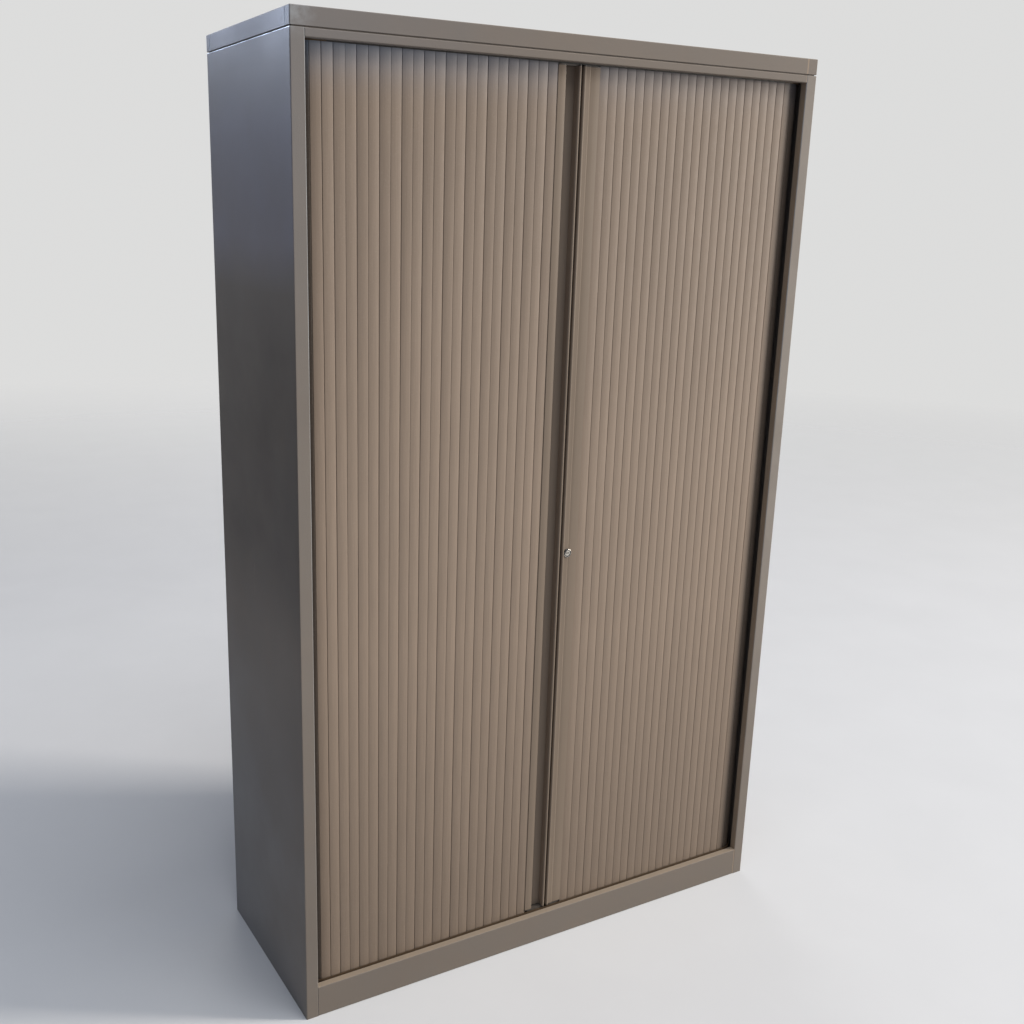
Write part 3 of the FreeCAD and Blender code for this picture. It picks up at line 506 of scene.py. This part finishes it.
def slat_plastic(name, colour):
    """Extruded matte plastic: grain along the slat, a tone of its own for each slat."""
    made, tree, shader = material(name, IOR=1.47, Specular_IOR_Level=0.3)
    here = place(tree)
    side, _, height = axes(tree, here)
    grain = noise(tree, place(tree, (1.0, 1.0, 0.012)), 900.0, 3.0)
    streak = noise(tree, place(tree, (1.0, 1.0, 0.05)), 240.0, 3.0)
    cloud = noise(tree, place(tree, (1.0, 1.0, 0.3)), 6.0, 4.0)
    shade = multiply(tree, remap(tree, grain, 0.965, 1.035), remap(tree, cloud, 0.97, 1.03))
    shade = multiply(tree, shade, remap(tree, streak, 0.955, 1.045))
    shade = multiply(tree, shade, remap(tree, spread(tree, "tone"), 0.975, 1.025, 0.0, 1.0))
    # Painted shade where the slats turn into the corner
    shade = multiply(tree, shade, remap(tree, spread(tree, "corner_shade"), 1.0, CORNER_SHADE_DARKEST, 0.0, 1.0))
    # Painted shade towards the foot and the head
    shade = multiply(tree, shade, remap(tree, height, FOOT_SHADE, 1.0, *FOOT_SHADE_SPAN))
    shade = multiply(tree, shade, remap(tree, height, 1.0, HEAD_SHADE, *HEAD_SHADE_SPAN))
    specks = remap(tree, noise(tree, here, 300.0, 2.0), 0.0, 0.12, 0.55, 0.75)
    base = blend_colour(tree, specks, tint(tree, colour, shade), SPECK)
    # Painted cool shade under the header
    cool_shade = calc(tree, "POWER", remap(tree, height, 0.0, HEAD_COOL_SHADE_COVER, *HEAD_COOL_SHADE_SPAN), 3.0)
    cool_shade = multiply(tree, cool_shade, remap(tree, side, 1.0, 0.25, *HEAD_COOL_SHADE_SIDE))
    base = blend_colour(tree, cool_shade, base, HEAD_COOL_SHADE)
    # Painted shadow just under the header
    head_shadow = multiply(tree, remap(tree, height, 0.0, 1.0, *HEAD_SHADOW_SPAN),
                     remap(tree, side, 0.15, 0.6, *HEAD_SHADOW_SIDE))
    base = blend_colour(tree, head_shadow, base, PAINTED_SHADE_DARK)
    rough = remap(tree, noise(tree, here, 60.0, 3.0), 0.5, 0.6)
    fine = bump(tree, grain, GRAIN_DEPTH)
    mould = bump(tree, noise(tree, here, 1400.0, 1.0), MOULD_DEPTH, 1.0, fine)
    finish_shader(tree, shader, base, rough, mould)
    return made


def satin_extrusion(name, colour):
    """Painted aluminium extrusion: die lines along it under a satin coat."""
    made, tree, shader = material(name, IOR=1.45, Specular_IOR_Level=0.16)
    here = place(tree)
    lines = noise(tree, place(tree, (1.0, 1.0, 0.006)), 1500.0, 2.0)
    cloud = remap(tree, noise(tree, place(tree, (1.0, 1.0, 0.25)), 8.0, 4.0), 0.95, 1.05)
    base = tint(tree, colour, multiply(tree, cloud, remap(tree, lines, 0.97, 1.03)))
    rough = remap(tree, noise(tree, here, 40.0, 4.0), 0.36, 0.46)
    finish_shader(tree, shader, base, rough, bump(tree, lines, DIE_LINE_DEPTH))
    return made


def moulded(name, colour, roughness, grain):
    """Moulded plastic or rubber: a fine eroded grain, slightly uneven gloss."""
    made, tree, shader = material(name, IOR=1.5, Specular_IOR_Level=0.4)
    here = place(tree)
    cells = noise(tree, here, grain, 3.0, 0.6)
    base = tint(tree, colour, remap(tree, noise(tree, here, 35.0, 4.0), 0.88, 1.12))
    rough = remap(tree, noise(tree, here, 90.0, 3.0), roughness - 0.07, roughness + 0.07)
    finish_shader(tree, shader, base, rough, bump(tree, cells, ERODED_DEPTH))
    return made


def plated(name, colour, roughness, spangle):
    """Zinc or nickel plate: cloudy gloss, fine scratches, grains where it is galvanised."""
    made, tree, shader = material(name, Metallic=1.0)
    here = place(tree)
    cells = add(tree, "ShaderNodeTexVoronoi", Vector=here, Scale=spangle).outputs["Color"]
    grains = add(tree, "ShaderNodeSeparateColor", Color=cells).outputs[0]
    scratches = noise(tree, place(tree, (1.0, 0.1, 1.0)), 700.0, 3.0)
    cloud = remap(tree, noise(tree, here, 25.0, 4.0), 0.9, 1.08)
    base = tint(tree, colour, multiply(tree, cloud, remap(tree, grains, 0.94, 1.04, 0.0, 1.0)))
    rough = remap(tree, multiply(tree, scratches, noise(tree, here, 60.0, 3.0)),
                  roughness - 0.06, roughness + 0.12, 0.1, 0.4)
    finish_shader(tree, shader, base, rough, bump(tree, scratches, SCRATCH_DEPTH))
    return made


def painted_lock_shade(name, made):
    """Adds painted shade to a metal, in a ring round the plug and on the upper left of the lock's face.
    """
    tree = made.node_tree
    shader = tree.nodes["Principled BSDF"]
    middle = (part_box(name)[0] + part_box(name)[1]) / 2
    x, _, z = axes(tree, place(tree))
    left = calc(tree, "SUBTRACT", middle.x, x)
    up = calc(tree, "SUBTRACT", z, middle.z)
    corner = calc(tree, "ADD", multiply(tree, left, SHADE_LEFT), multiply(tree, up, SHADE_UP))
    corner = remap(tree, corner, 0.0, LOCK_SHADE_COVER, *LOCK_SHADE_REACH)
    reach = calc(tree, "ADD", multiply(tree, left, left), multiply(tree, up, up))
    reach = calc(tree, "SQRT", reach)
    cover = calc(tree, "MAXIMUM", corner, band(tree, reach, *PLUG_RING))
    base = shader.inputs["Base Color"].links[0].from_socket
    tree.links.new(blend_colour(tree, cover, base, PAINTED_SHADE_DARK), shader.inputs["Base Color"])
    return made


def slot_materials():
    """The material of each slot of the CAD nodes."""
    # Overlays on the frame paint: painted highlights, sheen, bounce light, cool light and shade, and the
    # scuffed corner
    overlays = (painted_cool_light, painted_light_on_left_side, painted_sheen_on_stiles, painted_bounce_on_return,
             painted_fold_highlight, corner_scuff_and_highlight, painted_top_edge_highlight, slit_shade_and_pale_edges)
    frame_paint = baked_paint("frame_paint_baked", PAINT, 0.36, 0.35, overlays)
    return {
        "frame_paint": metallic_top_edge_highlight(frame_paint),
        "inner_paint": baked_paint("inner_paint_baked", INNER_PAINT, 0.48, 0.12),
        "rivet_metal": baked_paint("rivet_paint", INNER_PAINT, 0.40, 0.5),
        "slat_plastic": slat_plastic("slat_plastic_extruded", (0.270, 0.205, 0.152)),
        "profile_paint": satin_extrusion("profile_satin", (0.215, 0.168, 0.126)),
        "track_plastic": moulded("track_brown", (0.062, 0.038, 0.020), 0.45, 700.0),
        # The end caps are darkened to paint the shade under the header.
        "cap_plastic": moulded("cap_painted_shade", (0.060, 0.050, 0.041), 0.45, 900.0),
        "buffer_rubber": moulded("buffer_black", (0.016, 0.014, 0.012), 0.65, 1100.0),
        "plug_plastic": moulded("plug_grey", (0.060, 0.055, 0.050), 0.5, 900.0),
        "lock_metal": plated("lock_nickel", (0.46, 0.43, 0.39), 0.20, 2500.0),
        "bare_steel": plated("steel_zinc", (0.50, 0.50, 0.49), 0.38, 260.0),
        "foot_metal": plated("foot_zinc", (0.42, 0.42, 0.41), 0.42, 400.0),
    }


def own_materials():
    """Materials of single nodes: the lock's metals with painted shade, and the top track in a darker
    copy of the track's plastic that paints its shade.
    """
    plug = painted_lock_shade("lock_barrel", plated("lock_plug_dull", (0.52, 0.49, 0.44), 0.26, 2500.0))
    flange = painted_lock_shade("lock_barrel", plated("lock_flange_nickel", (0.60, 0.57, 0.52), 0.20, 2500.0))
    track_with_painted_shade = moulded("track_painted_shade", (0.020, 0.018, 0.017), 0.5, 700.0)
    return {"lock_plug": plug, "lock_barrel": flange, "front_track_top": track_with_painted_shade}


def dress_cad_nodes(finishes):
    """Gives each CAD node its own material, or else the material of its slot."""
    own = own_materials()
    slots = {part["node"]: part["material_slot"] for part in frame["record"]["subparts"]}
    for name, node in frame["nodes"].items():
        mesh = node.data
        if not mesh.materials:
            mesh.materials.append(None)
        for slot in node.material_slots:
            slot.material = own.get(name, finishes[slots[name]])


def path_point(s):
    """A point on the path of the slats' faces, s along it from the middle of the front."""
    if s <= BEND_START:
        return Vector((s, CURTAIN_FACE))
    angle = min(s - BEND_START, BEND_RADIUS * math.pi / 2) / BEND_RADIUS
    rest = max(0.0, s - BEND_START - BEND_RADIUS * math.pi / 2)
    return Vector((BEND_START + BEND_RADIUS * math.sin(angle),
                   CURTAIN_FACE + BEND_RADIUS * (1 - math.cos(angle)) + rest))


def slat_edge(depth, bent):
    """One edge of a slat seen from above, from its back round to its face, as (along, out) points."""
    half_turn = SLAT_PITCH / BEND_RADIUS / 2
    half_pitch = (SLAT_PITCH - SLAT_JOINT) / 2
    half = half_pitch - depth * math.tan(half_turn)
    back = half_pitch - SLAT_THICKNESS * math.tan(half_turn) - SLAT_JOINT / 2
    link = (SLAT_PITCH - LINK_GAP) / 2
    edge = [(back, -SLAT_THICKNESS)]
    if not bent:
        edge += [(back, -LINK_BOTTOM - LINK_SLOPE), (link, -LINK_BOTTOM), (link, -depth)]
    for i in range(ARC_STEPS + 1):
        turn = math.pi / 2 * i / ARC_STEPS
        edge.append((half - depth * (1 - math.cos(turn)), depth * (math.sin(turn) - 1)))
    return edge


def slat_outline(bent, before, after):
    """Outline of a slat with the depth of the joint on each side; in a bend its back is narrower."""
    right = slat_edge(after, bent)
    left = [(-u, w) for u, w in reversed(slat_edge(before, bent))]
    high = right[-1][0]
    low = left[0][0]
    crown = []
    for i in range(1, CROWN_STEPS):
        share = i / CROWN_STEPS
        crown.append((high + (low - high) * share, SLAT_CROWN * 4 * share * (1 - share)))
    return right + crown + left


def lean_at(z, leans):
    low, high = LEAN_HEIGHT
    share = min(1.0, max(0.0, (z - low) / (high - low)))
    share = share * share * (3 - 2 * share)
    return leans[0] + (leans[1] - leans[0]) * share


def linked(name, data):
    """An object with this data, in the scene."""
    made = bpy.data.objects.new(name, data)
    bpy.context.scene.collection.objects.link(made)
    return made


def slat_faces(first, size):
    """Faces of one closed slat whose rings of points start at first."""
    faces = []
    for ring in range(RINGS):
        low = first + ring * size
        for k in range(size):
            n = (k + 1) % size
            faces.append((low + k, low + size + k, low + size + n, low + n))
    faces.append(tuple(first + k for k in range(size)))
    faces.append(tuple(first + RINGS * size + k for k in reversed(range(size))))
    return faces


def slat_points(a, b, outline, mirror, lean_of, sway_of, z0, z1):
    """Points of one slat between two points of the path, ring by ring from its foot."""
    middle = (a + b) / 2
    along = (b - a).normalized()
    points = []
    for ring in range(RINGS + 1):
        z = z0 + (z1 - z0) * ring / RINGS
        lean = math.radians(lean_of(z))
        sway = sway_of(z)
        for u, w in outline:
            lean_u = u * math.cos(lean) - w * math.sin(lean) + sway
            lean_w = u * math.sin(lean) + w * math.cos(lean)
            x = middle.x + along.x * lean_u + along.y * lean_w
            y = middle.y + along.y * lean_u - along.x * lean_w
            points.append((-x if mirror else x, y, z))
    return points


def slat_mesh(name, points, faces, carried):
    """A mesh shaded round, which carries the named values at its points."""
    mesh = bpy.data.meshes.new(name)
    mesh.from_pydata(points, [], faces)
    mesh.update()
    for label, values in carried.items():
        mesh.attributes.new(label, "FLOAT", "POINT").data.foreach_set("value", values)
    mesh.shade_smooth()
    mesh.set_sharp_from_angle(angle=math.radians(SLAT_SHARP))
    return mesh


def slats(name, mirror, start, count, bent, leans, joints, corner_shade_share, seed, z0, z1):
    """One mesh of separate slats, each a closed form that leans and drifts a little over its height."""
    dice = random.Random(seed)
    points, faces, tones, corner_shades = [], [], [], []
    for i in range(count):
        a = path_point(start + i * SLAT_PITCH)
        b = path_point(start + (i + 1) * SLAT_PITCH)
        own = dice.uniform(-LEAN_SPREAD, LEAN_SPREAD)
        phase = dice.uniform(0, 2 * math.pi)
        length = dice.uniform(*DRIFT_LENGTH)
        tone = 0.5 + dice.uniform(-0.5, 0.5) * TONE_SPREAD
        sign = 1 if i % 2 else -1
        outline = slat_outline(bent, joints[i % 2], joints[(i + 1) % 2])

        def lean_of(z):
            return 0 if bent else own + sign * lean_at(z, leans)

        def sway_of(z):
            return 0 if bent else DRIFT * math.sin(phase + 2 * math.pi * z / length)

        faces += slat_faces(len(points), len(outline))
        points += slat_points(a, b, outline, mirror, lean_of, sway_of, z0, z1)
        # Painted shade of the corner, carried by the mesh: the first slat in the bend darkens towards
        # its far edge, the ones behind it fully
        corner_shade = [1.0 if bent and i > 0 else corner_shade_share * (0.5 + u / SLAT_PITCH) for u, _ in outline]
        corner_shades += corner_shade * (RINGS + 1)
        tones += [tone] * len(corner_shade) * (RINGS + 1)
    if mirror:
        faces = [face[::-1] for face in faces]
    return linked(name, slat_mesh(name, points, faces, {"tone": tones, "corner_shade": corner_shades}))


def curtain(side, start, leans, joints, corner_shade_share, seed, finish):
    """One curtain's slats: a front run that shortens as the door opens, and a tail in the corner."""
    mirror = side == "left"
    low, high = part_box(side + "_curtain_front")
    run = slats(side + "_slats", mirror, start, FRONT_SLATS, False, leans, joints, 0.0, seed,
                low.z, high.z)
    end = start + FRONT_SLATS * SLAT_PITCH
    tail = slats(side + "_corner_slats", mirror, end, TAIL_SLATS, True, leans, CORNER_JOINTS, corner_shade_share,
                 seed + 1, low.z, high.z)
    for piece, node in ((run, side + "_curtain_front"), (tail, side + "_curtain_tail")):
        piece.data.materials.append(finish)
        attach(piece, "carcass")
        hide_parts(node)
    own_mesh(run)


def seam_bead(side, finish):
    """Paint that fills the seam between the bottom rail and a stile, sunk a little between the two."""
    low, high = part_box("bottom_rail")
    x0 = high.x - BEAD_LAP
    x1 = high.x + SEAM + BEAD_LAP
    rise = high.z - BEAD_SINK
    outline = [(x0, BEAD_SINK), (high.x, BEAD_EDGE), ((x0 + x1) / 2, BEAD_MIDDLE),
               (high.x + SEAM, BEAD_EDGE), (x1, BEAD_SINK), ((x0 + x1) / 2, BEAD_DEPTH)]
    points = [(side * x, low.y + y, z) for z in (low.z + BEAD_SINK, rise) for x, y in outline]
    size = len(outline)
    faces = [(k, (k + 1) % size, size + (k + 1) % size, size + k) for k in range(size)]
    faces += [tuple(reversed(range(size))), tuple(size + k for k in range(size))]
    if side < 0:
        faces = [face[::-1] for face in faces]
    mesh = bpy.data.meshes.new("seam_bead")
    mesh.from_pydata(points, [], faces)
    mesh.materials.append(finish)
    bead = linked("seam_bead_left" if side < 0 else "seam_bead_right", mesh)
    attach(bead, "carcass")


def smooth_cad_nodes():
    """Round faces of the CAD nodes are shaded round."""
    for node in frame["nodes"].values():
        node.data.shade_smooth()
        node.data.set_sharp_from_angle(angle=math.radians(CAD_SHARP))


def make_camera():
    """The photograph's view; its principal point is off the middle, so the lens is shifted."""
    yaw, pitch, roll = CAMERA_YAW, CAMERA_PITCH, CAMERA_ROLL
    ahead = Vector((math.sin(yaw) * math.cos(pitch), math.cos(yaw) * math.cos(pitch), math.sin(pitch)))
    right = ahead.cross(Vector((0, 0, 1))).normalized()
    up = right.cross(ahead)
    rolled_right = math.cos(roll) * right + math.sin(roll) * up
    rolled_up = math.cos(roll) * up - math.sin(roll) * right
    data = bpy.data.cameras.new("camera")
    data.sensor_width = SENSOR
    data.lens = FOCAL_PIXELS / IMAGE_SIZE * SENSOR
    data.shift_x = (IMAGE_SIZE / 2 - PRINCIPAL_POINT[0]) / IMAGE_SIZE
    data.shift_y = (PRINCIPAL_POINT[1] - IMAGE_SIZE / 2) / IMAGE_SIZE
    camera = linked("camera", data)
    turn = Matrix((rolled_right, rolled_up, -ahead)).transposed().to_4x4()
    camera.matrix_world = Matrix.Translation(CAMERA_PLACE) @ turn
    bpy.context.scene.camera = camera


def panel_light(name, centre, aim, width, height, radiance, colour):
    """A soft rectangular lamp of an even brightness, which the camera doesn't see."""
    data = bpy.data.lights.new(name, "AREA")
    data.shape = "RECTANGLE"
    data.size = width
    data.size_y = height
    data.energy = radiance * width * height * math.pi
    data.color = colour
    lamp = linked(name, data)
    direction = Vector(aim) - Vector(centre)
    lamp.location = centre
    lamp.rotation_euler = direction.to_track_quat("-Z", "Y").to_euler()
    lamp.visible_camera = False
    return lamp


def make_lights():
    turn = math.radians(KEY_AZIMUTH)
    x = KEY_DISTANCE * math.sin(turn)
    y = -KEY_DISTANCE * math.cos(turn)
    panel_light("key", (x, y, KEY_CENTRE), (0, 0, KEY_CENTRE), KEY_WIDTH, KEY_HEIGHT,
                KEY_RADIANCE, KEY_COLOUR)
    panel_light("top", TOP_PLACE, (TOP_PLACE[0], TOP_PLACE[1], 0), *TOP_SIZE, TOP_RADIANCE, TOP_COLOUR)
    panel_light("rear", REAR_PLACE, REAR_AIM, *REAR_SIZE, REAR_RADIANCE, REAR_COLOUR)
    sheen = panel_light("sheen", SHEEN_PLACE, SHEEN_AIM, *SHEEN_SIZE, SHEEN_RADIANCE, SHEEN_COLOUR)
    sheen.visible_diffuse = False


def seen_directly(tree):
    """1 where the camera, a reflection or a glass looks, 0 where light only bounces."""
    path = add(tree, "ShaderNodeLightPath").outputs
    seen = calc(tree, "MAXIMUM", path["Is Camera Ray"], path["Is Transmission Ray"])
    return calc(tree, "MAXIMUM", seen, path["Is Glossy Ray"])


def make_world():
    """Dim even light, and a pale background for the camera, reflections and glass."""
    world = bpy.data.worlds.new("studio")
    bpy.context.scene.world = world
    world.use_nodes = True
    tree = world.node_tree
    colour = blend_colour(tree, seen_directly(tree), AMBIENT, BACKGROUND)
    tree.links.new(colour, tree.nodes["Background"].inputs["Color"])


def floor_finish():
    """Pale and matt, more transparent further off, and darker to light that bounces."""
    made, tree, shader = material("floor_pale", Roughness=0.8, Specular_IOR_Level=0.2)
    here = place(tree)
    pale = tint(tree, FLOOR_PALE, remap(tree, noise(tree, here, 3.0, 4.0), 0.985, 1.015))
    base = blend_colour(tree, seen_directly(tree), FLOOR_BOUNCE, pale)
    tree.links.new(base, shader.inputs["Base Color"])
    reach = add(tree, "ShaderNodeVectorMath", [("operation", "LENGTH")], _0=here).outputs["Value"]
    fade = remap(tree, reach, 0.0, 1.0, *FLOOR_FADE)
    clear = add(tree, "ShaderNodeBsdfTransparent").outputs[0]
    mixed = add(tree, "ShaderNodeMixShader", _0=fade, _1=shader.outputs[0], _2=clear).outputs[0]
    tree.links.new(mixed, tree.nodes["Material Output"].inputs["Surface"])
    return made


def make_floor():
    """A pale floor that fades into the background far from the object."""
    far = FLOOR_HALF
    corners = [(-far, -far, 0), (far, -far, 0), (far, far, 0), (-far, far, 0)]
    mesh = bpy.data.meshes.new("floor")
    mesh.from_pydata(corners, [], [(0, 1, 2, 3)])
    mesh.materials.append(floor_finish())
    floor = linked("floor", mesh)


bpy.context.scene.view_settings.view_transform = "Standard"
finishes = slot_materials()
dress_cad_nodes(finishes)
smooth_cad_nodes()
curtain("left", LEFT_START, LEFT_LEAN, LEFT_JOINTS, LEFT_CORNER_SHADE, LEFT_SEED, finishes["slat_plastic"])
curtain("right", RIGHT_START, RIGHT_LEAN, RIGHT_JOINTS, RIGHT_CORNER_SHADE, RIGHT_SEED, finishes["slat_plastic"])
for side in (-1, 1):
    seam_bead(side, finishes["frame_paint"])
make_floor()
make_world()
make_lights()
make_camera()
